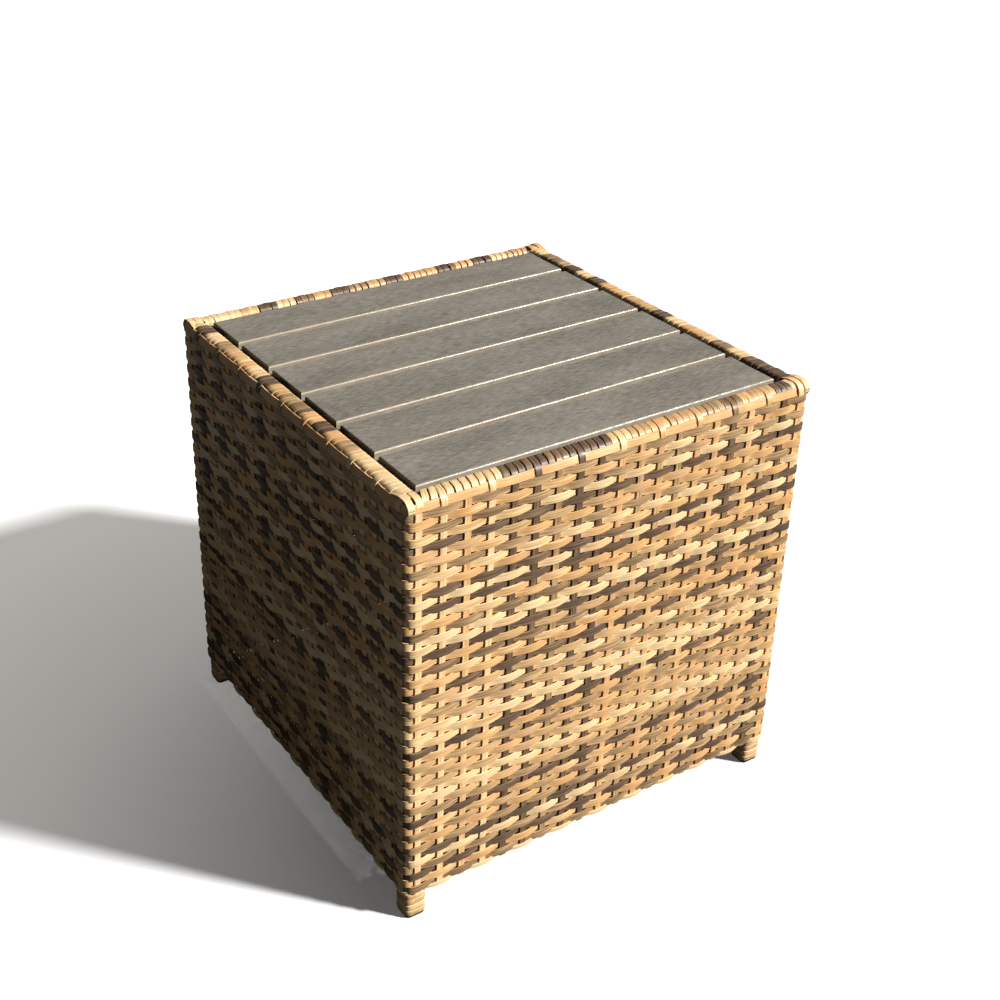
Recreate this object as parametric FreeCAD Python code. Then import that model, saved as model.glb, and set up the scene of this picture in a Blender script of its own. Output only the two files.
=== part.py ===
"""Patio side table that stands over a gas cylinder.

Woven resin sides on a tube frame, with a slatted top that lifts out.
Millimetres. +Z is up and the origin is on the floor, under the middle of the footprint.
The front is -Y and the left side is -X. The slats run along X.
"""
import FreeCAD, Part
import os
from FreeCAD import Vector

# Overall size
overall_width = 508.0
overall_depth = 508.0
overall_height = 508.0
foot_height = 33.0
corner_radius = 10.0

# Resin strand
strand_thickness = 1.8
strands_through_weave = 3
rim_edge_radius = 4.0
rim_inner_corner_radius = 3.0
weave_edge_radius = 1.4
fillet_room = 0.1

# Stakes of the weave, and the valley in its face between two of them
stakes_per_side = 20
first_stake_x = -238.0
stake_span = 478.0
stake_ease = 0.09
valley_half_width = 7.0

# Tube frame
leg_size = 22.0
leg_wall = 1.5
weld_ledge = 3.4
rail_wall = 1.2
rail_edge_radius = 3.5

# Foot glides
glide_height = 3.0
glide_lip = 0.6
glide_edge = 0.8
plug_length = 14.0
plug_clearance = 0.15

# Slatted top
slat_count = 6
slat_gap = 8.0
slat_thickness = 12.0
slat_edge_radius = 2.2
top_side_gap = 5.0
top_drop = 1.0
batten_width = 30.0
batten_thickness = 12.0
batten_from_slat_end = 55.0
batten_end_inset = 10.0

# Support under the top
angle_wall = 2.0
angle_height = 20.0
strip_thickness = 1.5
strip_end_inset = 4.0
slat_rest_width = 15.0

# Slat screws
screw_shank = 4.0
screw_head = 8.0
screw_head_height = 2.4
screw_head_edge = 0.8
screw_bite = 7.0
screw_spread = 36.0
screw_clearance = 0.05

# Insets from the outer faces
# The wrapped rails are narrower than the legs, which leaves a ledge for the welds.
weave_thickness = strands_through_weave * strand_thickness
valley_depth = (weave_thickness - strand_thickness) / 2
rail_size = leg_size - weld_ledge - 2 * strand_thickness
rail_inset = weave_thickness + strand_thickness
rail_inner_inset = rail_inset + rail_size
rim_inner_inset = rail_inner_inset + strand_thickness
leg_inner_inset = weave_thickness + leg_size
top_inset = rim_inner_inset + top_side_gap

# Heights
rail_top = overall_height - strand_thickness
rail_bottom = rail_top - rail_size
weave_top = overall_height - 2 * strand_thickness
low_rail_bottom = foot_height + 2 * strand_thickness
slat_top = overall_height - top_drop
slat_bottom = slat_top - slat_thickness
batten_bottom = slat_bottom - batten_thickness
angle_top = slat_bottom - strip_thickness

leg_radius = corner_radius - weave_thickness
mitre_depth = 2 * leg_inner_inset
cut_margin = 1.0

SIDE_ANGLES = {"front": 0, "right": 90, "back": 180, "left": 270}
CORNERS = {"front_left": (-1, -1), "front_right": (1, -1), "back_left": (-1, 1), "back_right": (1, 1)}

parts = {}


def box(x0, x1, y0, y1, z0, z1):
    """Box between two corners."""
    return Part.makeBox(x1 - x0, y1 - y0, z1 - z0, Vector(x0, y0, z0))


def rounded_box(x0, x1, y0, y1, z0, z1, radius):
    """Box with its four upright edges rounded."""
    block = box(x0, x1, y0, y1, z0, z1)
    upright = [e for e in block.Edges if abs(e.Vertexes[0].Z - e.Vertexes[1].Z) > (z1 - z0) / 2]
    return block.makeFillet(radius, upright)


def level_edges(shape, z):
    """Edges that lie wholly at one height."""
    return [e for e in shape.Edges if abs(e.BoundBox.ZMin - z) < 1e-6 and abs(e.BoundBox.ZMax - z) < 1e-6]


def inset_block(inset, z0, z1, radius=0.0):
    """Block as large as the footprint less an inset all round."""
    x = overall_width / 2 - inset
    y = overall_depth / 2 - inset
    if radius > 0:
        return rounded_box(-x, x, -y, y, z0, z1, radius)
    return box(-x, x, -y, y, z0, z1)


def side_halves(side):
    """Distance from the centre to a side's outer face, and half its length."""
    if side in ("front", "back"):
        return overall_depth / 2, overall_width / 2
    return overall_width / 2, overall_depth / 2


def turn_to_side(shape, side):
    """Turn a shape made for the front to another side."""
    turned = shape.copy()
    turned.rotate(Vector(0, 0, 0), Vector(0, 0, 1), SIDE_ANGLES[side])
    return turned


def side_share(ring, side):
    """The share of a ring that belongs to one side, cut at 45 degrees at the corners."""
    reach, half_length = side_halves(side)
    outer = Vector(half_length + cut_margin, -reach - cut_margin, 0)
    inner = Vector(half_length - mitre_depth, -reach + mitre_depth, 0)
    points = [Vector(-outer.x, outer.y, 0), outer, inner, Vector(-inner.x, inner.y, 0)]
    outline = Part.makePolygon(points + points[:1])
    wedge = Part.Face(outline).extrude(Vector(0, 0, overall_height + cut_margin))
    return ring.common(turn_to_side(wedge, side)).Solids[0]


def leg_block(corner, grow, z0, z1):
    """Square block on the line of one leg, larger all round by grow."""
    sign_x, sign_y = CORNERS[corner]
    near_x = overall_width / 2 - weave_thickness + grow
    near_y = overall_depth / 2 - weave_thickness + grow
    size = leg_size + 2 * grow
    xs = sorted((sign_x * near_x, sign_x * (near_x - size)))
    ys = sorted((sign_y * near_y, sign_y * (near_y - size)))
    return rounded_box(xs[0], xs[1], ys[0], ys[1], z0, z1, leg_radius + grow)


def make_leg(corner):
    """Square tube from the glide to the top frame."""
    outside = leg_block(corner, 0.0, glide_height, rail_bottom)
    inside = leg_block(corner, -leg_wall, glide_height, rail_bottom)
    return outside.cut(inside)


def make_glide(corner):
    """Plastic foot: a flange on the floor and a plug in the tube."""
    flange = leg_block(corner, glide_lip, 0.0, glide_height)
    flange = flange.makeChamfer(glide_edge, level_edges(flange, 0.0))
    plug = leg_block(corner, -leg_wall - plug_clearance, glide_height, glide_height + plug_length)
    return flange.fuse(plug).removeSplitter()


def make_foot_wrap(corner):
    """Turns of strand round the leg below the weave."""
    outside = leg_block(corner, strand_thickness, glide_height, foot_height)
    return outside.cut(leg_block(corner, 0.0, glide_height, foot_height))


def rail_ring(wall):
    """Ring of the top frame with rounded edges, less a wall on every face."""
    low, high = rail_bottom + wall, rail_top - wall
    ring = inset_block(rail_inset + wall, low, high).cut(inset_block(rail_inner_inset - wall, low, high))
    return ring.makeFillet(rail_edge_radius - wall, level_edges(ring, low) + level_edges(ring, high))


def make_top_rail(side):
    """Square tube of the top frame, mitred at both ends."""
    return side_share(rail_ring(0.0).cut(rail_ring(rail_wall)), side)


def low_rail_block(side, grow):
    """Straight bar with rounded edges between two legs at the height of the bottom frame."""
    reach, half_length = side_halves(side)
    end = half_length - leg_inner_inset
    y0 = -reach + rail_inset - grow
    y1 = -reach + rail_inner_inset + grow
    bar = box(-end, end, y0, y1, low_rail_bottom - grow, low_rail_bottom + rail_size + grow)
    lengthwise = [e for e in bar.Edges if abs(e.Vertexes[0].X - e.Vertexes[1].X) > end]
    return turn_to_side(bar.makeFillet(rail_edge_radius + grow, lengthwise), side)


def make_bottom_rail(side):
    """Square tube of the bottom frame, between the legs."""
    return low_rail_block(side, 0.0).cut(low_rail_block(side, -rail_wall))


def make_bottom_wrap(side):
    """Strand ends looped round the bottom rail."""
    return low_rail_block(side, strand_thickness).cut(low_rail_block(side, 0.0))


def stake_x(number):
    """X of one stake of the front, counted from the left. They stand a little closer towards the right."""
    share = number / (stakes_per_side - 1)
    return first_stake_x + stake_span * (share + stake_ease * share * (1.0 - share))


def weave_valleys(side):
    """Shallow upright valleys where the strands pass from the outside of one stake to the inside of the next."""
    face_y = -side_halves(side)[0]
    flare = valley_half_width * (valley_depth + cut_margin) / valley_depth
    valleys = []
    for number in range(stakes_per_side - 1):
        x = (stake_x(number) + stake_x(number + 1)) / 2
        low = foot_height - cut_margin
        left = Vector(x - flare, face_y - cut_margin, low)
        right = Vector(x + flare, face_y - cut_margin, low)
        floor = Vector(x, face_y + valley_depth, low)
        outline = Part.Face(Part.makePolygon([left, right, floor, left]))
        valley = outline.extrude(Vector(0, 0, weave_top + cut_margin - low))
        valleys.append(turn_to_side(valley, side))
    return valleys


def make_woven_side(side):
    """Woven side: closed sheet as thick as the weave, with its share of the rounded corners."""
    outside = inset_block(0.0, foot_height, weave_top, corner_radius)
    ends = level_edges(outside, foot_height) + level_edges(outside, weave_top)
    outside = outside.makeFillet(weave_edge_radius, ends)
    skin = outside.cut(inset_block(weave_thickness, foot_height, weave_top, leg_radius))
    return side_share(skin, side).cut(weave_valleys(side)).Solids[0]


def make_rim_wrap(side):
    """Strand wound round the top rail, with a rounded top."""
    low = rail_bottom - strand_thickness
    outside = inset_block(weave_thickness, low, overall_height, leg_radius)
    ring = outside.cut(inset_block(rim_inner_inset, low, overall_height, rim_inner_corner_radius))
    edge_radius = min(rim_edge_radius, leg_radius - fillet_room)
    ring = ring.makeFillet(edge_radius, level_edges(ring, overall_height))
    ring = ring.cut(rail_ring(0.0))
    for corner in CORNERS:
        ring = ring.cut(leg_block(corner, 0.0, low, rail_bottom))
    return side_share(ring, side)


def side_bar(side, inset_0, inset_1, end_gap, z0, z1):
    """Straight bar inside the rim, from leg to leg, between two insets."""
    reach, half_length = side_halves(side)
    end = half_length - leg_inner_inset - end_gap
    return turn_to_side(box(-end, end, -reach + inset_0, -reach + inset_1, z0, z1), side)


def make_support_angle(side):
    """Steel angle welded to the ledges of two legs, with a flange under the slat ends."""
    web_inset = rim_inner_inset + angle_wall
    flange_inset = top_inset + slat_rest_width
    flange = side_bar(side, rim_inner_inset, flange_inset, 0.0, angle_top - angle_wall, angle_top)
    web = side_bar(side, rim_inner_inset, web_inset, 0.0, angle_top - angle_height, angle_top)
    return flange.fuse(web).removeSplitter()


def make_rest_strip(side):
    """Rubber strip on the support angle, under the slat ends."""
    return side_bar(side, top_inset, top_inset + slat_rest_width, strip_end_inset, angle_top, slat_bottom)


def slat_size():
    """Length and width of one slat."""
    length = overall_width - 2 * top_inset
    width = (overall_depth - 2 * top_inset - (slat_count - 1) * slat_gap) / slat_count
    return length, width


def slat_centre(index):
    """Y of one slat's centre line, counted from the front."""
    width = slat_size()[1]
    return (index - (slat_count - 1) / 2) * (width + slat_gap)


def batten_centre(sign):
    """X of one batten's centre line."""
    return sign * (slat_size()[0] / 2 - batten_from_slat_end)


def screw_places():
    """X and Y of every slat screw: two at each crossing."""
    return [
        (batten_centre(sign), slat_centre(index) + offset)
        for sign in (-1, 1)
        for index in range(slat_count)
        for offset in (-screw_spread / 2, screw_spread / 2)
    ]


def screw_holes():
    """Holes for the shanks, through the battens and into the slats."""
    radius = screw_shank / 2 + screw_clearance
    depth = batten_thickness + screw_bite + screw_clearance
    return [Part.makeCylinder(radius, depth, Vector(x, y, batten_bottom)) for x, y in screw_places()]


def make_slat(index, holes):
    """One slat with rounded edges and blind holes below."""
    length, width = slat_size()
    y = slat_centre(index)
    slat = box(-length / 2, length / 2, y - width / 2, y + width / 2, slat_bottom, slat_top)
    slat = slat.makeFillet(slat_edge_radius, level_edges(slat, slat_top))
    return slat.cut([hole for hole in holes if abs(hole.CenterOfMass.y - y) < width / 2])


def make_batten(sign, holes):
    """Bar under the slats that holds them together."""
    x = batten_centre(sign)
    end = overall_depth / 2 - top_inset - batten_end_inset
    batten = box(x - batten_width / 2, x + batten_width / 2, -end, end, batten_bottom, slat_bottom)
    return batten.cut([hole for hole in holes if hole.CenterOfMass.x * sign > 0])


def make_slat_screws():
    """All slat screws: a pan head under the batten and a shank up into the slat."""
    screws = []
    head_bottom = batten_bottom - screw_head_height
    shank_length = batten_thickness + screw_bite
    for x, y in screw_places():
        head = Part.makeCylinder(screw_head / 2, screw_head_height, Vector(x, y, head_bottom))
        head = head.makeFillet(screw_head_edge, level_edges(head, head_bottom))
        shank = Part.makeCylinder(screw_shank / 2, shank_length, Vector(x, y, batten_bottom))
        screws.append(head.fuse(shank).removeSplitter())
    return Part.makeCompound(screws)


for corner in CORNERS:
    parts[corner + "_leg"] = make_leg(corner)
    parts[corner + "_foot_glide"] = make_glide(corner)
    parts[corner + "_foot_wrap"] = make_foot_wrap(corner)

for side in SIDE_ANGLES:
    parts[side + "_top_rail"] = make_top_rail(side)
    parts[side + "_bottom_rail"] = make_bottom_rail(side)
    parts[side + "_woven_side"] = make_woven_side(side)
    parts[side + "_rim_wrap"] = make_rim_wrap(side)
    parts[side + "_bottom_wrap"] = make_bottom_wrap(side)

for side in ("left", "right"):
    parts[side + "_support_angle"] = make_support_angle(side)
    parts[side + "_rest_strip"] = make_rest_strip(side)

shank_holes = screw_holes()
for number in range(slat_count):
    parts["slat_%d" % (number + 1)] = make_slat(number, shank_holes)
parts["left_batten"] = make_batten(-1, shank_holes)
parts["right_batten"] = make_batten(1, shank_holes)
parts["slat_screws"] = make_slat_screws()

os.makedirs("parts", exist_ok=True)
for name, shape in parts.items():
    shape.exportStep("parts/%s.step" % name)
    print(name, len(shape.Solids), round(shape.Volume), shape.isValid())
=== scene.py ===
"""Dressed model of a woven table cover for a gas cylinder, and its studio.

The sides, the rim and the feet are resin strand, and the top is slatted. The classes hold their sizes in
millimetres, as a maker writes them, and every mesh is made in metres. +Z is up, the front is -Y and the left
side is -X. Distances round the table run from the middle of the front, first to the right.
"""
import logging
import math
from collections.abc import Sequence
from dataclasses import dataclass, field
from enum import Enum
from typing import Protocol

import bmesh
import bpy
from mathutils import Matrix, Vector, noise

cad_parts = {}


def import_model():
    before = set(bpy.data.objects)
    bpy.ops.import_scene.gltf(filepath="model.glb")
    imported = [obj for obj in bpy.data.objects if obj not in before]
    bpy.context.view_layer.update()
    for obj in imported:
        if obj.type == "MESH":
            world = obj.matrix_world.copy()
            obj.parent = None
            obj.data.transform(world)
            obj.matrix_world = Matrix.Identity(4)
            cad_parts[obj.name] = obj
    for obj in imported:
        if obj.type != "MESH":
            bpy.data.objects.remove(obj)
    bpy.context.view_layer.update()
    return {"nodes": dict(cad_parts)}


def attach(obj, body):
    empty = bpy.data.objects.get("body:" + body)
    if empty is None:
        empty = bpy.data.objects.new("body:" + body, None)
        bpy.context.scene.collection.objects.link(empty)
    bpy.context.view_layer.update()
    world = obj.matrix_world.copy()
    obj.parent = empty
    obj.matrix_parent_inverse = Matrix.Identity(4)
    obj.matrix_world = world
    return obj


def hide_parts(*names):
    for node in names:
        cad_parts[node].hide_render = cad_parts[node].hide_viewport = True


LOG = logging.getLogger("woven_table")
MM = 0.001
UP = Vector((0.0, 0.0, 1.0))
TOUCHING = 1e-6
TABLE_HALF = 254.0
CORNER_RADIUS = 10.0


class Place(Enum):
    """Places on the table that pieces are named for."""

    @property
    def label(self) -> str:
        """The place as pieces' names spell it."""
        return self.name.lower()


class Side(Place):
    """Sides of the table, each with its quarter turns from the front."""

    FRONT = 0
    RIGHT = 1
    BACK = 2
    LEFT = 3


class Corner(Place):
    """Corners of the table, each with the signs of its X and Y."""

    FRONT_LEFT = (-1, -1)
    FRONT_RIGHT = (1, -1)
    BACK_LEFT = (-1, 1)
    BACK_RIGHT = (1, 1)


class Tone(Enum):
    """Strand colours, each with its place on the strand's colour ramp.

    D is dark brown, B brown, G grey-brown, T tan, O orange and C cream.
    """

    D = 0.05
    B = 0.24
    G = 0.42
    T = 0.60
    O = 0.78
    C = 0.95


def add_object(name: str, data: bpy.types.ID) -> bpy.types.Object:
    """Adds an object to the scene."""
    made = bpy.data.objects.new(name, data)
    bpy.context.scene.collection.objects.link(made)
    return made


def add_mesh_object(name: str, mesh: bmesh.types.BMesh) -> bpy.types.Object:
    """Adds a mesh to the scene as an object, and frees it."""
    data = bpy.data.meshes.new(name)
    mesh.to_mesh(data)
    mesh.free()
    return add_object(name, data)


# Strand


@dataclass(frozen=True)
class StrandStock:
    """Flat extruded strand with narrow rounded edges.

    Attributes:
        width: Across the flat.
        thickness: Through the middle.
        crown: How much the middle of each flat stands above its shoulders.
        shoulder: Width of each rounded edge.
    """

    width: float = 8.4
    thickness: float = 1.8
    crown: float = 0.12
    shoulder: float = 0.35

    def section(self) -> list[tuple[float, float]]:
        """Outline of the strand's section.

        Returns:
            Points as distances across the flat and out of it. Every other one is an edge of the strand.
        """
        half = self.width / 2
        flat = half - self.shoulder
        out = self.thickness / 2
        top = [(-half, 0.0), (-flat, out - self.crown), (0.0, out), (flat, out - self.crown)]
        return top + [(-across, -height) for across, height in top]


@dataclass(frozen=True)
class Station:
    """One cross-section along a strand.

    Attributes:
        place: Middle of the strand.
        out: Direction that the strand's outer flat faces.
        width: Share of the stock's width here.
    """

    place: Vector
    out: Vector
    width: float = 1.0


def run_at(path: Sequence[Vector], index: int) -> Vector:
    """Direction of a path at one of its points.

    Args:
        path: Points in order. A path that ends where it starts is a loop.
        index: Number of the point.

    Returns:
        Unit vector from the point before to the point after.
    """
    last = len(path) - 1
    looped = (path[0] - path[-1]).length < TOUCHING
    before = path[index - 1] if index else path[last - 1 if looped else 0]
    after = path[index + 1] if index < last else path[1 if looped else last]
    return (after - before).normalized()


@dataclass
class StrandMesh:
    """Gathers laid strands into one mesh, with what the finish reads at each point.

    Attributes:
        name: Name of the finished piece.
        seed_step: Step from one strand's own number to the next one's, which spreads them evenly from 0 to 1.
        count: Strands laid so far.
        mesh: Mesh that they are laid in.
        lay_layer: Distances along and across the strand, in metres, and the strand's own number.
        tone_layer: Place on the strand's colour ramp.
    """

    name: str
    seed_step: float = 0.6180339
    count: int = 0
    mesh: bmesh.types.BMesh = field(default_factory=bmesh.new)
    lay_layer: bmesh.types.BMLayerItem = field(init=False)
    tone_layer: bmesh.types.BMLayerItem = field(init=False)

    def __post_init__(self) -> None:
        """Adds the layers that the strand finish reads."""
        self.lay_layer = self.mesh.verts.layers.float_vector.new("lay")
        self.tone_layer = self.mesh.verts.layers.float.new("tone")

    def lay(self, stations: Sequence[Station], stock: StrandStock, tone: Tone) -> None:
        """Lays one strand through its stations.

        Args:
            stations: At least two, in order along the strand. A strand that ends where it starts is a loop.
            stock: Strand that is laid.
            tone: Its colour.
        """
        section = stock.section()
        ring = section + section[:1]
        columns = len(section)
        grid = bmesh.ops.create_grid(self.mesh, x_segments=columns, y_segments=len(stations) - 1, size=1.0)
        points = grid["verts"]
        places = [station.place for station in stations]
        seed = self.count * self.seed_step % 1.0
        along = 0.0
        for row, station in enumerate(stations):
            tangent = run_at(places, row)
            out = (station.out - tangent * station.out.dot(tangent)).normalized()
            across = tangent.cross(out)
            if row:
                along += (station.place - places[row - 1]).length
            for column, (side, height) in enumerate(ring):
                point = points[row * (columns + 1) + column]
                point.co = (station.place + across * side * station.width + out * height) * MM
                point[self.lay_layer] = (along * MM, side * MM, seed)
                point[self.tone_layer] = tone.value
                if row and column % 2:
                    edge = self.mesh.edges.get((point, points[(row - 1) * (columns + 1) + column]))
                    edge.smooth = False
        self.count += 1

    def make_piece(self) -> bpy.types.Object:
        """Closes every strand and makes the object.

        Returns:
            The piece, in the scene.
        """
        bmesh.ops.remove_doubles(self.mesh, verts=self.mesh.verts, dist=TOUCHING)
        rims = [edge for edge in self.mesh.edges if edge.is_boundary]
        if rims:
            caps = bmesh.ops.holes_fill(self.mesh, edges=rims, sides=0)["faces"]
            for cap in caps:
                for edge in cap.edges:
                    edge.smooth = False
        for face in self.mesh.faces:
            face.smooth = True
        return add_mesh_object(self.name, self.mesh)


@dataclass(frozen=True)
class RoundedSquare:
    """Square line round the table with rounded corners.

    Attributes:
        half: Half its width.
        radius: Corner radius.
    """

    half: float
    radius: float

    @classmethod
    def inset(cls, inset: float) -> "RoundedSquare":
        """Line at an inset from the table's outer faces."""
        return cls(TABLE_HALF - inset, CORNER_RADIUS - inset)

    @property
    def side_length(self) -> float:
        """Length from the middle of one corner to the middle of the next."""
        return 2 * (self.half - self.radius) + math.pi / 2 * self.radius

    def at(self, distance: float) -> tuple[Vector, Vector]:
        """Place and outward direction at a distance round the table.

        Args:
            distance: From the middle of the front, first to the right.

        Returns:
            The place at height 0, and the level direction away from the table.
        """
        turns = math.floor(distance / self.side_length + 0.5)
        here = distance - turns * self.side_length
        straight = self.half - self.radius
        bend = max(0.0, abs(here) - straight) / self.radius
        sign = math.copysign(1.0, here)
        out = Vector((sign * math.sin(bend), -math.cos(bend), 0.0))
        level = min(abs(here), straight) * sign
        place = Vector((level, -straight, 0.0)) + out * self.radius
        turn = Matrix.Rotation(math.radians(90.0) * turns, 3, "Z")
        return turn @ place, turn @ out


def rounded_path(corners: Sequence[tuple[float, float, float]], steps: int) -> list[Vector]:
    """Open path of straight runs with rounded corners.

    Args:
        corners: Two coordinates and a radius each. The radius of the first and last is not used.
        steps: Runs that each rounded corner is divided into.

    Returns:
        The path's points in order.
    """
    points = [Vector(corners[0][:2])]
    for before, corner, after in zip(corners, corners[1:], corners[2:]):
        here = Vector(corner[:2])
        back = (Vector(before[:2]) - here).normalized()
        ahead = (Vector(after[:2]) - here).normalized()
        half_angle = back.angle(ahead) / 2
        reach = corner[2] / math.tan(half_angle)
        centre = here + (back + ahead).normalized() * corner[2] / math.sin(half_angle)
        start = (here + back * reach - centre).normalized()
        end = (here + ahead * reach - centre).normalized()
        points += [centre + start.slerp(end, step / steps) * corner[2] for step in range(steps + 1)]
    points.append(Vector(corners[-1][:2]))
    return points


# Woven sides


@dataclass
class Weave:
    """Plain weave of flat strand: level weavers over and under upright stakes.

    Attributes:
        middle: Line of the weave's middle layer, where the stakes stand.
        stakes_per_side: Stakes on each side of the table.
        first_stake: Place of a side's first stake from its middle.
        stake_span: From a side's first stake to its last.
        stake_ease: How much the spacing tightens towards a side's last stake.
        stake_foot: Height where the stakes end.
        top_row: Height of the uppermost weaver.
        row_pitch: From one weaver to the next.
        selvedge_height: Height of the half-hidden weaver along the bottom edge.
        swing: How far a weaver stands out over a stake, and in behind one.
        press: The same two distances for the uppermost weaver, which the rim holds in.
        round_share: Share of a plain wave in a weaver's bends. The rest is a wave with flatter crests.
        stake_give: How far a stake is pushed by each weaver.
        wobble: How far a weaver strays up and down.
        lean: How far a weaver's flat tips, in degrees.
        rim_lean: How far the uppermost weaver's flat leans back onto the rim, in degrees.
        stray_ring: Ring in the noise that a weaver reads its stray on, so that it meets itself after a round.
        stray_step: Step in the noise from one weaver to the next.
        lean_pace: How much faster the lean changes than the stray.
        lean_step: Step in the noise from the stray to the lean.
        steps: Sections from one stake to the next.
        row_tones: Weaver colours from the top down.
        stake_tones: Stake colours of each side.
        weaver: Strand of the weavers, which closes up with the next row's.
        stake: Strand of the stakes.
        open_weaver: Slightly narrower strand of the front's weavers, where small gaps show.
        open_stake: Narrower strand of the front's stakes.
        selvedge: Strand of the weaver along the bottom edge.
    """

    middle: RoundedSquare = RoundedSquare.inset(2.7)
    stakes_per_side: int = 20
    first_stake: float = -238.0
    stake_span: float = 478.0
    stake_ease: float = 0.09
    stake_foot: float = 34.4
    top_row: float = 499.7
    row_pitch: float = 8.81
    selvedge_height: float = 36.3
    swing: float = 1.9
    press: tuple[float, float] = (0.0, 1.0)
    round_share: float = 0.65
    stake_give: float = 0.5
    wobble: float = 0.35
    lean: float = 6.0
    rim_lean: float = 18.0
    stray_ring: float = 9.0
    stray_step: float = 2.7
    lean_pace: float = 1.7
    lean_step: float = 50.0
    steps: int = 6
    row_tones: str = "OGOGCDTOGCODCDOOBCCDTBOODTCGTCCCDOGTTTCCTGDOGOGDCGDOBC"
    stake_tones: dict[Side, str] = field(
        default_factory=lambda: {
            Side.FRONT: "CCOCDDGDDOGTGOTBOTDO",
            Side.RIGHT: "DDDCBOOCDTTOODCDGBCC",
            Side.BACK: "OOCDODOODTGDOBCDOCCC",
            Side.LEFT: "CDCGTOCDTGBODOGCCCCC",
        }
    )
    weaver: StrandStock = StrandStock(width=10.0)
    stake: StrandStock = StrandStock(width=9.3)
    open_weaver: StrandStock = StrandStock(width=9.15)
    open_stake: StrandStock = StrandStock(width=7.9)
    selvedge: StrandStock = StrandStock(width=5.0)

    @property
    def last_row(self) -> int:
        """Number of the lowest weaver."""
        return len(self.row_tones) - 1

    def stake_at(self, number: int) -> float:
        """Place of a stake.

        Args:
            number: Stake, counted round the table from the front's first.

        Returns:
            Its distance round the table.
        """
        side, index = divmod(number, self.stakes_per_side)
        share = index / (self.stakes_per_side - 1)
        eased = share + self.stake_ease * share * (1.0 - share)
        return side * self.middle.side_length + self.first_stake + self.stake_span * eased

    def row_height(self, row: int) -> float:
        """Height of a weaver, counted from the top."""
        return self.selvedge_height if row == self.last_row else self.top_row - row * self.row_pitch

    def stake_tone(self, number: int) -> Tone:
        """Colour of a stake."""
        side, index = divmod(number % (4 * self.stakes_per_side), self.stakes_per_side)
        return Tone[self.stake_tones[Side(side)][index]]

    def hidden_height(self, number: int, row: int) -> float:
        """Height, at a row or the one below it, where a weaver covers a stake."""
        return self.row_height(row + (row + number) % 2)

    def stray(self, row: int, distance: float) -> tuple[float, float]:
        """How a weaver strays from its row.

        Args:
            row: Weaver, counted from the top.
            distance: Where on it, round the table.

        Returns:
            How far it lies above its height, and how far its flat tips, in radians.
        """
        angle = 2 * math.pi * distance / (4 * self.middle.side_length)
        ring = self.stray_ring
        where = Vector((ring * math.cos(angle), ring * math.sin(angle), self.stray_step * row))
        lean = self.lean * noise.noise(where * self.lean_pace + UP * self.lean_step)
        return self.wobble * noise.noise(where), math.radians(lean + self.rim_lean * (row == 0))

    def weaver_stations(self, row: int, first: int, last: int) -> list[Station]:
        """Sections of a weaver from one stake to another.

        Args:
            row: Weaver, counted from the top.
            first: Stake where it starts.
            last: Stake where it ends.

        Returns:
            Sections in order.
        """
        height = self.row_height(row)
        stations = []
        for number in range(first, last):
            start, end = self.stake_at(number), self.stake_at(number + 1)
            sign = 1.0 if (row + number) % 2 == 0 else -1.0
            for step in range(self.steps + (number == last - 1)):
                share = step / self.steps
                distance = start + (end - start) * share
                place, out = self.middle.at(distance)
                wave = math.cos(math.pi * share)
                flat_wave = math.sin(math.pi / 2 * wave)
                bend = sign * (self.round_share * wave + (1.0 - self.round_share) * flat_wave)
                reach = bend * (self.press[bend < 0] if row == 0 else self.swing)
                rise, tip = self.stray(row, distance)
                place = place + out * reach + UP * (height + rise)
                stations.append(Station(place, out + UP * math.tan(tip)))
        return stations

    def stake_stations(self, number: int) -> list[Station]:
        """Sections of a stake from where the rim takes over down to its foot.

        Args:
            number: Stake, counted round the table from the front's first.

        Returns:
            Sections in order, one at each weaver.
        """
        place, out = self.middle.at(self.stake_at(number))
        top = self.hidden_height(number, 0)
        heights = [self.row_height(row) for row in range(self.last_row + 1)]
        stations = []
        for height in [height for height in heights if height <= top] + [self.stake_foot]:
            row = round((self.top_row - height) / self.row_pitch)
            push = -self.stake_give if (row + number) % 2 == 0 else self.stake_give
            stations.append(Station(place + out * push + UP * height, out))
        return stations

    def build(self, side: Side) -> bpy.types.Object:
        """Makes one woven side.

        Every weaver starts and ends behind a stake, so the joins between sides are hidden.

        Args:
            side: Side of the table.

        Returns:
            The piece, in the scene.
        """
        strands = StrandMesh(f"{side.label}_weave")
        start = side.value * self.stakes_per_side
        is_open = side is Side.FRONT
        weaver, stake = (self.open_weaver, self.open_stake) if is_open else (self.weaver, self.stake)
        for row, letter in enumerate(self.row_tones):
            first = start - 1 + row % 2
            stock = self.selvedge if row == self.last_row else weaver
            strands.lay(self.weaver_stations(row, first, first + self.stakes_per_side), stock, Tone[letter])
        for number in range(start, start + self.stakes_per_side):
            strands.lay(self.stake_stations(number), stake, self.stake_tone(number))
        return strands.make_piece()


# Wrapped rails


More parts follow.
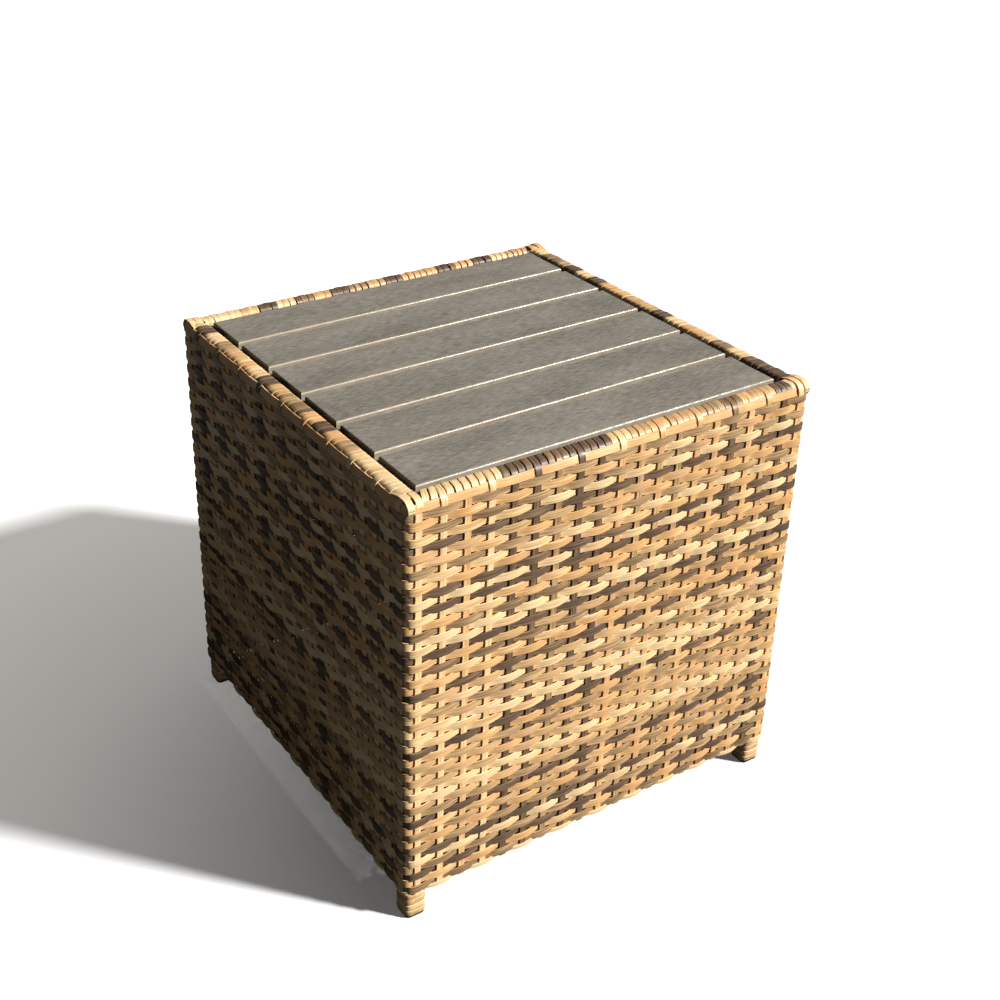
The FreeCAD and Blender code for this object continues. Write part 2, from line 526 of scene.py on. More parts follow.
@dataclass
class RailWrap:
    """Strand wound round a rail: each stake's end hitched over it, and turns that fill the space between.

    At a corner the strands of the front and the back lie over the ends of the side rails, along the side
    rails, and dive under their last turns. A path round a rail is drawn in insets from the outer line,
    positive towards the table's middle, and heights.

    Attributes:
        weave: The sides that the stakes belong to.
        outer: Line of the strand on the rail's outer face.
        inner: Line of the strand on the rail's inner face.
        far: Height of the strand on the face that the stakes reach last.
        near: Height of the strand on the opposite face.
        last_row: Row at which the stakes are hidden last.
        shows_last: Whether every other stake passes over that row, and not behind it.
        bend: Bend of the strand's middle round the rail's edges.
        edge_bend: Its bend round the far outer edge.
        cross_bend: Bend there of a strand that stands proud of the weave or crosses the next rail.
        hitch_line: Line of a stake's end where it passes over the uppermost weaver.
        hitch_bend: Bend where it comes out to that line.
        bend_steps: Runs in a bend.
        cross_steps: Runs in a bend of a strand that crosses the next rail.
        fill: Turns between two stakes.
        stray: How far a turn strays along the rail.
        slant: How far its inner face lies ahead of its outer one.
        skew: How far that strays.
        ruffle: How far it strays off the rail.
        stray_noise: Pace along the rail and place in the noise of the stray.
        skew_noise: The same for the skew.
        ruffle_noise: The same for the ruffle.
        reach: Half the length of rail that is wrapped, from a side's middle.
        square_reach: Half the length over which the turns lie square to the rail.
        squeeze: How much closer they lie on the inner face beyond that.
        crossed_reach: Distance from a side's middle past which the strands of two sides cross.
        cross_shift: How much nearer to the side's middle a crossing strand lies than its stake.
        dive_start: Share of the rail's depth where a crossing strand turns down.
        dive_bend: Bend there.
        dive_end: How far past the inner line, and how far below the strand's height, it ends.
        tuck: How far short of the inner line a strand that is crossed ends.
        cap_place: Distance from a side's middle of the strand on the corner.
        cap_foot: Inset, and depth below the uppermost weaver, where that strand starts.
        cap_turn: Depth below that weaver, and bend, where it comes out over it.
        cap_lifts: How far the strand on the corner and the one beside it stand over what they cross.
        stock: Strand that the rail is wrapped with.
        tones: Colours along a side from its first stake to its last, where they aren't the stakes' own.
    """

    weave: Weave
    outer: RoundedSquare = RoundedSquare.inset(4.3)
    inner: RoundedSquare = RoundedSquare(half=230.9, radius=2.5)
    far: float = 507.0
    near: float = 490.4
    last_row: int = 0
    shows_last: bool = True
    bend: float = 4.4
    edge_bend: float = 7.2
    cross_bend: float = 9.0
    hitch_line: float = 252.5
    hitch_bend: float = 5.0
    bend_steps: int = 6
    cross_steps: int = 8
    fill: int = 2
    stray: float = 1.3
    slant: float = 3.5
    skew: float = 2.0
    ruffle: float = 0.5
    stray_noise: tuple[float, float] = (0.23, 9.0)
    skew_noise: tuple[float, float] = (0.27, 14.0)
    ruffle_noise: tuple[float, float] = (0.31, 4.0)
    reach: float = math.inf
    square_reach: float = 206.0
    squeeze: float = 0.77
    crossed_reach: float = 234.0
    cross_shift: float = 1.8
    dive_start: float = 0.75
    dive_bend: float = 5.0
    dive_end: tuple[float, float] = (8.0, 3.5)
    tuck: float = 3.0
    cap_place: float = 246.8
    cap_foot: tuple[float, float] = (2.0, 7.2)
    cap_turn: tuple[float, float] = (1.0, 3.0)
    cap_lifts: tuple[float, float] = (1.4, 0.9)
    stock: StrandStock = StrandStock(width=7.9, shoulder=0.5)
    tones: dict[Side, str] = field(default_factory=dict)

    @classmethod
    def rim(cls, weave: Weave) -> "RailWrap":
        """Wrap of the top rails."""
        return cls(weave, tones={Side.FRONT: "CCCCDDBDDCTOTTGBOTDC"})

    @classmethod
    def bottom(cls, weave: Weave) -> "RailWrap":
        """Wrap of the bottom rails, which end at the legs. Its turns are straight."""
        return cls(
            weave, outer=RoundedSquare.inset(6.3), far=35.7, near=52.5, edge_bend=4.4, slant=0.0,
            last_row=51, shows_last=False, reach=222.0, square_reach=230.0,
        )

    @property
    def depth(self) -> float:
        """Distance between the strand's lines on the two upright faces."""
        return self.outer.half - self.inner.half

    @property
    def half_height(self) -> float:
        """Height halfway between the strand's lines on the two level faces."""
        return (self.far + self.near) / 2

    @property
    def proud(self) -> float:
        """Inset of a stake's end where it passes over the uppermost weaver."""
        return self.outer.half - self.hitch_line

    @staticmethod
    def wander(distance: float, height: float, read: tuple[float, float]) -> float:
        """Number between -1 and 1 that wanders with the distance, by a pace and a place in the noise."""
        return noise.noise(Vector((distance * read[0], height, read[1])))

    def inner_distance(self, distance: float) -> float:
        """Where a turn lies on the inner line.

        Args:
            distance: Where it lies on the outer line.

        Returns:
            Its distance on the inner line, closer together towards the corners.
        """
        turns = math.floor(distance / self.outer.side_length + 0.5)
        here = distance - turns * self.outer.side_length
        if abs(here) > self.square_reach:
            here = math.copysign(self.square_reach + (abs(here) - self.square_reach) * self.squeeze, here)
        return turns * self.inner.side_length + here

    def turn_stations(self, distance: float, path: Sequence[Vector], lift: float) -> list[Station]:
        """Sections of a turn.

        Args:
            distance: Where the turn lies on the outer line.
            path: Its path round the rail.
            lift: How far the turn stands off the rail.

        Returns:
            Sections in the path's order.
        """
        ahead = self.slant + self.skew * self.wander(distance, self.near, self.skew_noise)
        inner = self.inner.at(self.inner_distance(distance + ahead))
        pinch = self.inner_distance(distance + 0.5) - self.inner_distance(distance - 0.5)
        return self.sections(self.outer.at(distance), inner, pinch, path, lift)

    def crossing_stations(
        self, side: Side, here: float, path: Sequence[Vector], lift: float
    ) -> list[Station]:
        """Sections of a strand that runs square to its own rail, across the end of the next.

        Args:
            side: Side of the strand's own rail.
            here: Where it lies from that side's middle.
            path: Its path round its own rail.
            lift: How far it stands off what it crosses.

        Returns:
            Sections in the path's order.
        """
        middle, out = self.outer.at(side.value * self.outer.side_length)
        place = middle + UP.cross(out) * here
        return self.sections((place, out), (place - out * self.depth, out), 1.0, path, lift)

    def sections(
        self,
        outer: tuple[Vector, Vector],
        inner: tuple[Vector, Vector],
        pinch: float,
        path: Sequence[Vector],
        lift: float,
    ) -> list[Station]:
        """Sections of a path in the upright plane through two places on the rail.

        Args:
            outer: Place and outward direction on the outer line.
            inner: The same on the inner line.
            pinch: Share of the strand's width that is left on the inner line.
            path: Path round the rail.
            lift: How far the path is moved off the rail.

        Returns:
            Sections in the path's order.
        """
        middle = Vector((self.depth / 2, self.half_height))
        stations = []
        for index, point in enumerate(path):
            run = run_at(path, index)
            normal = Vector((-run.y, run.x))
            if normal.dot(point - middle) < 0:
                normal = -normal
            inset, height = point + normal * lift
            share = max(0.0, inset / self.depth)
            level = outer[0].lerp(inner[0], share) - outer[1] * min(0.0, inset)
            share = min(1.0, share)
            inward = -(outer[1].lerp(inner[1], share)).normalized()
            out = inward * normal.x + UP * normal.y
            stations.append(Station(level + UP * height, out, 1.0 + (pinch - 1.0) * share))
        return stations

    def turn_path(self) -> list[Vector]:
        """Closed path of a filling turn.

        Returns:
            Points once round the rail, from the middle of its outer face.
        """
        corners = [
            (0.0, self.half_height, 0.0),
            (0.0, self.far, self.edge_bend),
            (self.depth, self.far, self.bend),
            (self.depth, self.near, self.bend),
            (0.0, self.near, self.bend),
            (0.0, self.half_height, 0.0),
        ]
        return rounded_path(corners, self.bend_steps)

    def rise(self, number: int) -> list[tuple[float, float, float]]:
        """Corners of a stake's end, from where a weaver hides it up to the rail's edge.

        Args:
            number: Stake, counted round the table from the front's first.

        Returns:
            Inset, height and bend of each corner.
        """
        start = self.weave.hidden_height(number, self.last_row)
        tucked = self.outer.half - self.weave.middle.half + self.weave.stake_give
        if self.shows_last and (number + self.last_row) % 2:
            out_at = (start + self.weave.row_height(self.last_row)) / 2
            return [
                (tucked, start, 0.0),
                (self.proud, out_at, self.hitch_bend),
                (self.proud, self.far, self.cross_bend),
            ]
        return [(tucked, start, 0.0), (0.0, self.far, self.edge_bend)]

    def hitch_path(self, number: int) -> list[Vector]:
        """Path of a stake's end over the rail and back behind the stake.

        Args:
            number: Stake, counted round the table from the front's first.

        Returns:
            Points from where a weaver hides the stake.
        """
        corners = [
            (self.depth, self.far, self.bend),
            (self.depth, self.near, self.bend),
            (0.0, self.near, self.bend),
            (0.0, self.half_height, 0.0),
        ]
        return rounded_path(self.rise(number) + corners, self.bend_steps)

    def over_path(self, rise: list[tuple[float, float, float]]) -> list[Vector]:
        """Path of a strand that crosses the next rail and dives under its last turns.

        Args:
            rise: Corners up to the rail's edge.

        Returns:
            Points from the first corner to the strand's hidden end.
        """
        past, below = self.dive_end
        corners = rise[:-1] + [
            (*rise[-1][:2], self.cross_bend),
            (self.depth * self.dive_start, self.far, self.dive_bend),
            (self.depth + past, self.far - below, 0.0),
        ]
        return rounded_path(corners, self.cross_steps)

    def cap_path(self) -> list[Vector]:
        """Path of the strand on a corner, which starts behind the second weaver and passes over the first.

        Returns:
            Points from its foot to its hidden end.
        """
        top = self.weave.row_height(0)
        foot_inset, foot_drop = self.cap_foot
        turn_drop, turn_bend = self.cap_turn
        return self.over_path(
            [
                (foot_inset, top - foot_drop, 0.0),
                (self.proud, top - turn_drop, turn_bend),
                (self.proud, self.far, 0.0),
            ]
        )

    def under_path(self, rise: list[tuple[float, float, float]]) -> list[Vector]:
        """Path of a strand that ends under those that cross it, from its corners up to the rail's edge."""
        return rounded_path(rise + [(self.depth - self.tuck, self.far, 0.0)], self.bend_steps)

    def tone(self, side: Side, index: int) -> Tone:
        """Colour of the turns beside a stake."""
        tones = self.tones.get(side) or self.weave.stake_tones[side]
        return Tone[tones[min(index, len(tones) - 1)]]

    def lay_hitch(self, strands: StrandMesh, side: Side, number: int, here: float, tone: Tone) -> None:
        """Lays the end of one stake.

        Args:
            strands: Mesh that it is laid in.
            side: Side of the rail.
            number: Stake, counted round the table from the front's first.
            here: Its place from the side's middle.
            tone: Its colour.
        """
        if abs(here) < self.crossed_reach:
            distance = here + side.value * self.outer.side_length
            strands.lay(self.turn_stations(distance, self.hitch_path(number), 0.0), self.stock, tone)
            return
        over = side in (Side.FRONT, Side.BACK)
        path = self.over_path(self.rise(number)) if over else self.under_path(self.rise(number))
        lift = self.cap_lifts[1] if over else 0.0
        here -= math.copysign(self.cross_shift, here)
        strands.lay(self.crossing_stations(side, here, path, lift), self.stock, tone)

    def lay_turn(self, strands: StrandMesh, side: Side, here: float, tone: Tone) -> None:
        """Lays a filling turn.

        Args:
            strands: Mesh that it is laid in.
            side: Side of the rail.
            here: Its place from the side's middle.
            tone: Its colour.
        """
        distance = here + side.value * self.outer.side_length
        lift = self.ruffle * self.wander(distance, self.far, self.ruffle_noise)
        distance += self.stray * self.wander(distance, self.far, self.stray_noise)
        strands.lay(self.turn_stations(distance, self.turn_path(), lift), self.stock, tone)

    def build(self, name: str, side: Side) -> bpy.types.Object:
        """Makes the wrap of one side's rail.

        Args:
            name: Name of the piece.
            side: Side of the rail.

        Returns:
            The piece, in the scene.
        """
        strands = StrandMesh(name)
        count = self.weave.stakes_per_side
        start = side.value * count
        shift = side.value * self.weave.middle.side_length
        places = [self.weave.stake_at(number) - shift for number in range(start, start + count)]
        for index, here in enumerate(places):
            if abs(here) < self.reach:
                self.lay_hitch(strands, side, start + index, here, self.tone(side, index))
            for following in places[index + 1 : index + 2]:
                for turn in range(1, self.fill + 1):
                    share = turn / (self.fill + 1)
                    place = here + (following - here) * share
                    if abs(place) < self.reach:
                        self.lay_turn(strands, side, place, self.tone(side, index + round(share)))
        if side in (Side.FRONT, Side.BACK) and self.cap_place < self.reach:
            for end, index in ((-1, 0), (1, count - 1)):
                place = end * self.cap_place
                stations = self.crossing_stations(side, place, self.cap_path(), self.cap_lifts[0])
                strands.lay(stations, self.stock, self.tone(side, index))
        return strands.make_piece()


# Wrapped feet


@dataclass
class FootWrap:
    """Turns of strand round a leg below the weave.

    Attributes:
        bottom: Height where they start.
        top: Height where they end.
        leg_inset: From the table's outer faces to the leg's middle.
        line: Line of the strand round the leg's middle.
        sway: How far the middle turns rise and fall on their way round.
        sway_step: How much further round each turn's highest point lies, in radians.
        steps: Sections in a turn.
        stock: Strand, as wide as the turns' pitch and a little over.
        tones: Colour of each turn from the lowest up.
    """

    bottom: float = 3.0
    top: float = 33.0
    leg_inset: float = 16.4
    line: RoundedSquare = RoundedSquare(half=11.9, radius=5.5)
    sway: float = 0.25
    sway_step: float = 1.3
    steps: int = 28
    stock: StrandStock = StrandStock(width=7.6, crown=0.25, shoulder=1.2)
    tones: str = "TCTC"

    def build(self, corner: Corner) -> bpy.types.Object:
        """Makes the turns of one foot.

        Args:
            corner: Corner of the table.

        Returns:
            The piece, in the scene.
        """
        strands = StrandMesh(f"{corner.label}_foot_turns")
        turns = len(self.tones)
        pitch = (self.top - self.bottom) / turns
        middle = Vector((*corner.value, 0.0)) * (TABLE_HALF - self.leg_inset)
        for turn, letter in enumerate(self.tones):
            height = self.bottom + pitch * (turn + 0.5)
            sway = self.sway if 0 < turn < turns - 1 else 0.0
            stations = []
            for step in range(self.steps + 1):
                share = step % self.steps / self.steps
                place, out = self.line.at(4 * self.line.side_length * share)
                rise = sway * math.sin(2 * math.pi * share + self.sway_step * turn)
                stations.append(Station(middle + place + UP * (height + rise), out))
            strands.lay(stations, self.stock, Tone[letter])
        return strands.make_piece()


# Finishes


class Finish(Protocol):
    """What a piece is finished with."""

    def material(self) -> bpy.types.Material:
        """The finish's material."""


def linear(colour: str) -> tuple[float, float, float, float]:
    """Linear colour from an sRGB hex value."""
    channels = [int(colour[i : i + 2], 16) / 255 for i in (1, 3, 5)]
    return (*[c / 12.92 if c <= 0.04045 else ((c + 0.055) / 1.055) ** 2.4 for c in channels], 1.0)


def feed(node: bpy.types.Node, **inputs: object) -> None:
    """Sets or links a node's inputs.

    Args:
        node: Node whose inputs are fed.
        inputs: Socket names, with _ for a space, or i and a number. Each has a value, a socket to link, or a
            node whose first socket is linked.
    """
    for name, value in inputs.items():
        socket = node.inputs[int(name[1:])] if name[1:].isdigit() else node.inputs[name.replace("_", " ")]
        if isinstance(value, bpy.types.Node):
            value = value.outputs[0]
        if isinstance(value, bpy.types.NodeSocket):
            node.id_data.links.new(value, socket)
        else:
            socket.default_value = value


def add_node(
    tree: bpy.types.NodeTree, kind: str, settings: dict[str, object] | None = None, **inputs: object
) -> bpy.types.Node:
    """Adds a node with its settings and links.

    Args:
        tree: Node tree.
        kind: Blender's name of the node, after ShaderNode.
        settings: Values of the node's own properties.
        inputs: What its inputs are fed.

    Returns:
        The node.
    """
    node = tree.nodes.new(f"ShaderNode{kind}")
    for name, value in (settings or {}).items():
        setattr(node, name, value)
    feed(node, **inputs)
    return node


def set_stops(ramp: bpy.types.Node, stops: Sequence[tuple[float, str]]) -> None:
    """Gives a colour ramp its stops.

    Args:
        ramp: Ramp node.
        stops: Places and sRGB hex values.
    """
    elements = ramp.color_ramp.elements
    while len(elements) > len(stops):
        elements.remove(elements[-1])
    while len(elements) < len(stops):
        elements.new(1.0)
    for element, (place, colour) in zip(elements, stops):
        element.position = place
        element.color = linear(colour)


def new_material(name: str) -> tuple[bpy.types.Material, bpy.types.NodeTree, bpy.types.Node]:
    """Starts a material.

    Args:
        name: The real finish.

    Returns:
        The material, its node tree and its shader.
    """
    material = bpy.data.materials.new(name)
    material.use_nodes = True
    tree = material.node_tree
    tree.nodes.clear()
    shader = add_node(tree, "BsdfPrincipled")
    add_node(tree, "OutputMaterial", Surface=shader)
    return material, tree, shader


# Most of a noise's values lie between these two.
NOISE_LOW, NOISE_HIGH = 0.3, 0.7
# Settings of nodes that are used more than once.
MULTIPLY = {"operation": "MULTIPLY"}
MULTIPLY_ADD = {"operation": "MULTIPLY_ADD"}
ADD = {"operation": "ADD"}
ABSOLUTE = {"operation": "ABSOLUTE"}
COLOUR = {"data_type": "RGBA"}
TINT = {"data_type": "RGBA", "blend_type": "MULTIPLY"}


@dataclass(frozen=True)
class ResinStrandFinish:
    """Polyethylene strand, extruded from several colours at once.

    The die leaves fine lengthwise streaks, and the mix drifts, so one strand wanders between two neighbouring
    colours and leans a little towards plum or olive. The skin is smooth and glints where it bends.

    Attributes:
        streak_width: Across a streak. The real ones are finer, and are drawn this coarse so that they show.
        streak_length: Along a streak.
        streak_swing: How far along the colour ramp the streaks reach.
        streak_range: Values of the noise between which a streak goes from dark to pale.
        streak_shades: Darkest and palest shade of a streak in the darkest tone, and in the palest.
        streak_height: Relief of the streaks.
        drift_length: Along a stretch of one colour.
        drift_pace: How fast the drift changes across the strand, in times a metre.
        drift_swing: How far along the colour ramp the drift reaches.
        seed_steps: Steps in the noise of the streaks and of the drift from one strand to the next.
        lean_from: Where in the noise the leaning is read.
        lean_scale: Scale of the leaning against the streaks'.
        leans: Tints at the two ends of the leaning, plum and olive.
        roughness: Of the smoothest and the dullest stretches.
        ior: Of the plastic.
        stops: Colour of each tone.
    """

    streak_width: float = 1.1
    streak_length: float = 36.0
    streak_swing: float = 0.60
    streak_range: tuple[float, float] = (0.28, 0.72)
    streak_shades: tuple[tuple[float, float], tuple[float, float]] = ((0.60, 1.42), (0.84, 1.14))
    streak_height: float = 0.2
    drift_length: float = 150.0
    drift_pace: float = 60.0
    drift_swing: float = 0.50
    seed_steps: tuple[float, float] = (37.0, 91.0)
    lean_from: tuple[float, float, float] = (3.0, 7.0, 5.0)
    lean_scale: float = 0.6
    leans: tuple[tuple[float, str], ...] = ((0.35, "#FFF5F7"), (0.65, "#F8FBEC"))
    roughness: tuple[float, float] = (0.37, 0.62)
    ior: float = 1.5
    stops: tuple[tuple[float, str], ...] = (
        (Tone.D.value, "#645040"),
        (Tone.B.value, "#896F50"),
        (Tone.G.value, "#AF9069"),
        (Tone.T.value, "#D2AB7B"),
        (Tone.O.value, "#DAA76E"),
        (Tone.C.value, "#EBCD9D"),
    )

    def material(self) -> bpy.types.Material:
        """The strand's material."""
        material, tree, shader = new_material("resin_strand_extruded")
        lay = add_node(tree, "Attribute", {"attribute_name": "lay"}).outputs["Vector"]
        tone = add_node(tree, "Attribute", {"attribute_name": "tone"}).outputs["Fac"]

        streak_scale = (1000 / self.streak_length, 1000 / self.streak_width, self.seed_steps[0])
        streak_map = add_node(tree, "Mapping", Vector=lay, Scale=streak_scale)
        streak = add_node(tree, "TexNoise", Vector=streak_map, Scale=1.0, Detail=2.0, Roughness=0.6)
        drift_scale = (1000 / self.drift_length, self.drift_pace, self.seed_steps[1])
        drift_map = add_node(tree, "Mapping", Vector=lay, Scale=drift_scale)
        drift = add_node(tree, "TexNoise", Vector=drift_map, Scale=1.0, Detail=1.0, Roughness=0.5)
        lean_map = add_node(tree, "Mapping", Vector=lay, Location=self.lean_from, Scale=streak_scale)
        lean = add_node(
            tree, "TexNoise", Vector=lean_map, Scale=self.lean_scale, Detail=1.0, Roughness=0.5
        )

        slow = add_node(tree, "Math", MULTIPLY_ADD, i0=drift, i1=self.drift_swing, i2=-self.drift_swing / 2)
        fine = add_node(
            tree, "Math", MULTIPLY_ADD, i0=streak, i1=self.streak_swing, i2=-self.streak_swing / 2
        )
        both = add_node(tree, "Math", ADD, i0=slow, i1=fine)
        place = add_node(tree, "Math", ADD, i0=both, i1=tone)
        ramp = add_node(tree, "ValToRGB", Fac=place)
        set_stops(ramp, self.stops)

        (dark_low, dark_high), (pale_low, pale_high) = self.streak_shades
        low = add_node(tree, "MapRange", Value=tone, To_Min=dark_low, To_Max=pale_low)
        high = add_node(tree, "MapRange", Value=tone, To_Min=dark_high, To_Max=pale_high)
        dark, pale = self.streak_range
        shade = add_node(
            tree, "MapRange", Value=streak, From_Min=dark, From_Max=pale, To_Min=low, To_Max=high
        )
        shaded = add_node(tree, "Mix", TINT, i0=1.0, i6=ramp, i7=shade)
        hue = add_node(tree, "ValToRGB", Fac=lean)
        set_stops(hue, self.leans)
        tinted = add_node(tree, "Mix", TINT, i0=1.0, i6=shaded.outputs[2], i7=hue)

        smooth, rough = self.roughness
        gloss = add_node(
            tree, "MapRange", Value=drift,
            From_Min=NOISE_LOW, From_Max=NOISE_HIGH, To_Min=smooth, To_Max=rough,
        )
        bump = add_node(tree, "Bump", Height=streak, Strength=0.5, Distance=self.streak_height * MM)
        feed(shader, Base_Color=tinted.outputs[2], Roughness=gloss, Normal=bump, IOR=self.ior)
        return material


@dataclass(frozen=True)
class StainedSlatFinish:
    """Hardwood board, brushed and stained grey, with a varnished arris, and painted shade on its ends.

    Brushing leaves fine furrows along the board. The rounded arris and the flat side below it are paler than
    the face, partly from thinner stain and partly as painted light. The varnish on the arris is smooth and
    glints. The ends are painted nearly black, which is painted shade.

    Attributes:
        furrow_width: Across a furrow. The real ones are finer, and are drawn this coarse so that they show.
        furrow_length: Along a furrow.
        furrow_height: Relief of the furrows.
        height_pace: How fast the furrows change with the height, in times a metre.
        clouds: Clouds a metre in the stain, along the board, across it and through it.
        cloud_swing: How far along the colour ramp the clouds reach.
        board_pitch: From one board's middle to the next.
        board_seed: Place in the noise of the board behind the middle.
        board_shades: Darkest and palest board.
        face: Colours of the face, from the furrows up.
        arris_stain_and_painted_light: Colour of the rounded edges, paler than the face: partly thinner stain,
            partly painted light.
        end_painted_shade: Painted shade on the board's ends, nearly black.
        arris_start: How much the wood faces up where the arris starts, and where it is whole.
        side_start: The same where the flat side below takes over, and where it has.
        side_share: Share of the arris colour, with its painted light, on the flat side.
        end_shade_start: How much the wood faces along the board where the painted shade on the ends starts,
            and where it is whole.
        face_roughness: Of the smoothest and the dullest parts of the face.
        arris_roughness: Of the varnished arris.
        glint: Specular level.
    """

    furrow_width: float = 1.1
    furrow_length: float = 12.0
    furrow_height: float = 0.3
    height_pace: float = 300.0
    clouds: tuple[float, float, float] = (9.0, 30.0, 9.0)
    cloud_swing: float = 0.3
    board_pitch: float = 76.33
    board_seed: float = 9.0
    board_shades: tuple[float, float] = (0.93, 1.07)
    face: tuple[tuple[float, str], ...] = ((NOISE_LOW, "#5A544C"), (NOISE_HIGH, "#978F82"))
    arris_stain_and_painted_light: str = "#A3967F"
    end_painted_shade: str = "#2C2721"
    arris_start: tuple[float, float] = (0.97, 0.75)
    side_start: tuple[float, float] = (0.35, 0.05)
    side_share: float = 0.45
    end_shade_start: tuple[float, float] = (0.5, 0.8)
    face_roughness: tuple[float, float] = (0.62, 0.80)
    arris_roughness: float = 0.21
    glint: float = 0.30

    def material(self) -> bpy.types.Material:
        """The slat's material."""
        material, tree, shader = new_material("slat_grey_stain_with_painted_light")
        place = add_node(tree, "TexCoord").outputs["Object"]

        furrow_scale = (1000 / self.furrow_length, 1000 / self.furrow_width, self.height_pace)
        furrow_map = add_node(tree, "Mapping", Vector=place, Scale=furrow_scale)
        furrow = add_node(tree, "TexNoise", Vector=furrow_map, Scale=1.0, Detail=3.0, Roughness=0.65)
        cloud_map = add_node(tree, "Mapping", Vector=place, Scale=self.clouds)
        cloud = add_node(tree, "TexNoise", Vector=cloud_map, Scale=1.0, Detail=2.0, Roughness=0.5)
        swing = add_node(
            tree, "Math", MULTIPLY_ADD, i0=cloud, i1=self.cloud_swing, i2=-self.cloud_swing / 2
        )
        value = add_node(tree, "Math", ADD, i0=furrow, i1=swing)
        ramp = add_node(tree, "ValToRGB", Fac=value)
        set_stops(ramp, self.face)

        axes = add_node(tree, "SeparateXYZ", i0=place)
        board = add_node(
            tree, "Math", MULTIPLY_ADD, i0=axes.outputs[1], i1=1000 / self.board_pitch, i2=self.board_seed
        )
        whole = add_node(tree, "Math", {"operation": "FLOOR"}, i0=board)
        chance = add_node(tree, "TexWhiteNoise", {"noise_dimensions": "1D"}, i1=whole)
        darkest, palest = self.board_shades
        board_shade = add_node(tree, "MapRange", Value=chance, To_Min=darkest, To_Max=palest)
        face = add_node(tree, "Mix", TINT, i0=1.0, i6=ramp, i7=board_shade)

        # Paler arris and side, by which way the surface faces: partly thinner stain, partly painted light.
        normal = add_node(tree, "NewGeometry").outputs["Normal"]
        facing = add_node(tree, "SeparateXYZ", i0=normal)
        up = facing.outputs[2]
        start, full = self.arris_start
        below_face = add_node(tree, "MapRange", Value=up, From_Min=start, From_Max=full)
        start, full = self.side_start
        above_side = add_node(
            tree, "MapRange", Value=up, From_Min=full, From_Max=start, To_Min=self.side_share
        )
        arris = add_node(tree, "Math", MULTIPLY, i0=below_face, i1=above_side)
        arris_stain_and_painted_light = linear(self.arris_stain_and_painted_light)
        colour = add_node(tree, "Mix", COLOUR, i0=arris, i6=face.outputs[2], i7=arris_stain_and_painted_light)
        # Painted shade: the ends, which face along the board, are made nearly black.
        endwise = add_node(tree, "Math", ABSOLUTE, i0=facing)
        start, full = self.end_shade_start
        end = add_node(tree, "MapRange", Value=endwise, From_Min=start, From_Max=full)
        end_painted_shade = linear(self.end_painted_shade)
        with_end_shade = add_node(tree, "Mix", COLOUR, i0=end, i6=colour.outputs[2], i7=end_painted_shade)

        smooth, rough = self.face_roughness
        dull = add_node(tree, "MapRange", Value=furrow, To_Min=smooth, To_Max=rough)
        gloss = add_node(tree, "Mix", i0=arris, i2=dull, i3=self.arris_roughness)
        bump = add_node(tree, "Bump", Height=furrow, Strength=0.6, Distance=self.furrow_height * MM)
        feed(shader, Base_Color=with_end_shade.outputs[2], Roughness=gloss, Normal=bump, Specular_IOR_Level=self.glint)
        return material


@dataclass(frozen=True)
class GrainFinish:
    """Plain finish with a fine grain: powder coat, moulded plastic, rubber, plated steel or sawn wood.

    Attributes:
        name: The real finish.
        dark: Colour in the grain's hollows.
        light: Colour on its tops.
        grain: Size of the grain, coarser than the real one where that is too fine to show.
        stretch: How much longer the grain is along Y than across it.
        relief: Height of the grain.
        roughness: Of the surface.
        gloss_swing: How much smoother or duller it is in places.
        metallic: 1 for bare metal.
    """

    name: str
    dark: str
    light: str
    grain: float
    stretch: float = 1.0
    relief: float = 0.05
    roughness: float = 0.5
    gloss_swing: float = 0.06
    metallic: float = 0.0

    def material(self) -> bpy.types.Material:
        """The finish's material."""
        material, tree, shader = new_material(self.name)
        place = add_node(tree, "TexCoord").outputs["Object"]
        fine = 1000 / self.grain
        fine_map = add_node(tree, "Mapping", Vector=place, Scale=(fine, fine / self.stretch, fine))
        grain = add_node(tree, "TexNoise", Vector=fine_map, Scale=1.0, Detail=2.0, Roughness=0.55)
        ramp = add_node(tree, "ValToRGB", Fac=grain)
        set_stops(ramp, ((NOISE_LOW, self.dark), (NOISE_HIGH, self.light)))
        smooth, rough = self.roughness - self.gloss_swing, self.roughness + self.gloss_swing
        gloss = add_node(tree, "MapRange", Value=grain, To_Min=smooth, To_Max=rough)
        bump = add_node(tree, "Bump", Height=grain, Strength=0.4, Distance=self.relief * MM)
        feed(shader, Base_Color=ramp, Roughness=gloss, Normal=bump, Metallic=self.metallic)
        return material


# Powder coat on steel tube: an even brown-black with the faint orange peel of baked powder.
POWDER_COAT = GrainFinish(
    "powder_coat_brown_black", "#2A241F", "#352E27", grain=1.4, relief=0.08, roughness=0.45
)
# Moulded polyethylene foot: black, dull, with a faint spark-eroded texture.
MOULDED_BLACK = GrainFinish("polyethylene_moulded_black", "#151412", "#211F1C", grain=0.8, roughness=0.55)
# Extruded rubber strip: black and matt.
RUBBER = GrainFinish("rubber_extruded_black", "#191817", "#232120", grain=1.0, roughness=0.8)
# Zinc-plated screws: pale grey metal, slightly cloudy.
ZINC = GrainFinish(
    "steel_zinc_plated", "#A9A9A4", "#C4C4BE", grain=1.5, relief=0.02, roughness=0.32, metallic=1.0
)
# Sawn hardwood batten: straight pale brown grain along its length.
BATTEN = GrainFinish(
    "batten_sawn_hardwood", "#8A7557", "#B59A74", grain=2.2, stretch=18.0, relief=0.15, roughness=0.7
)


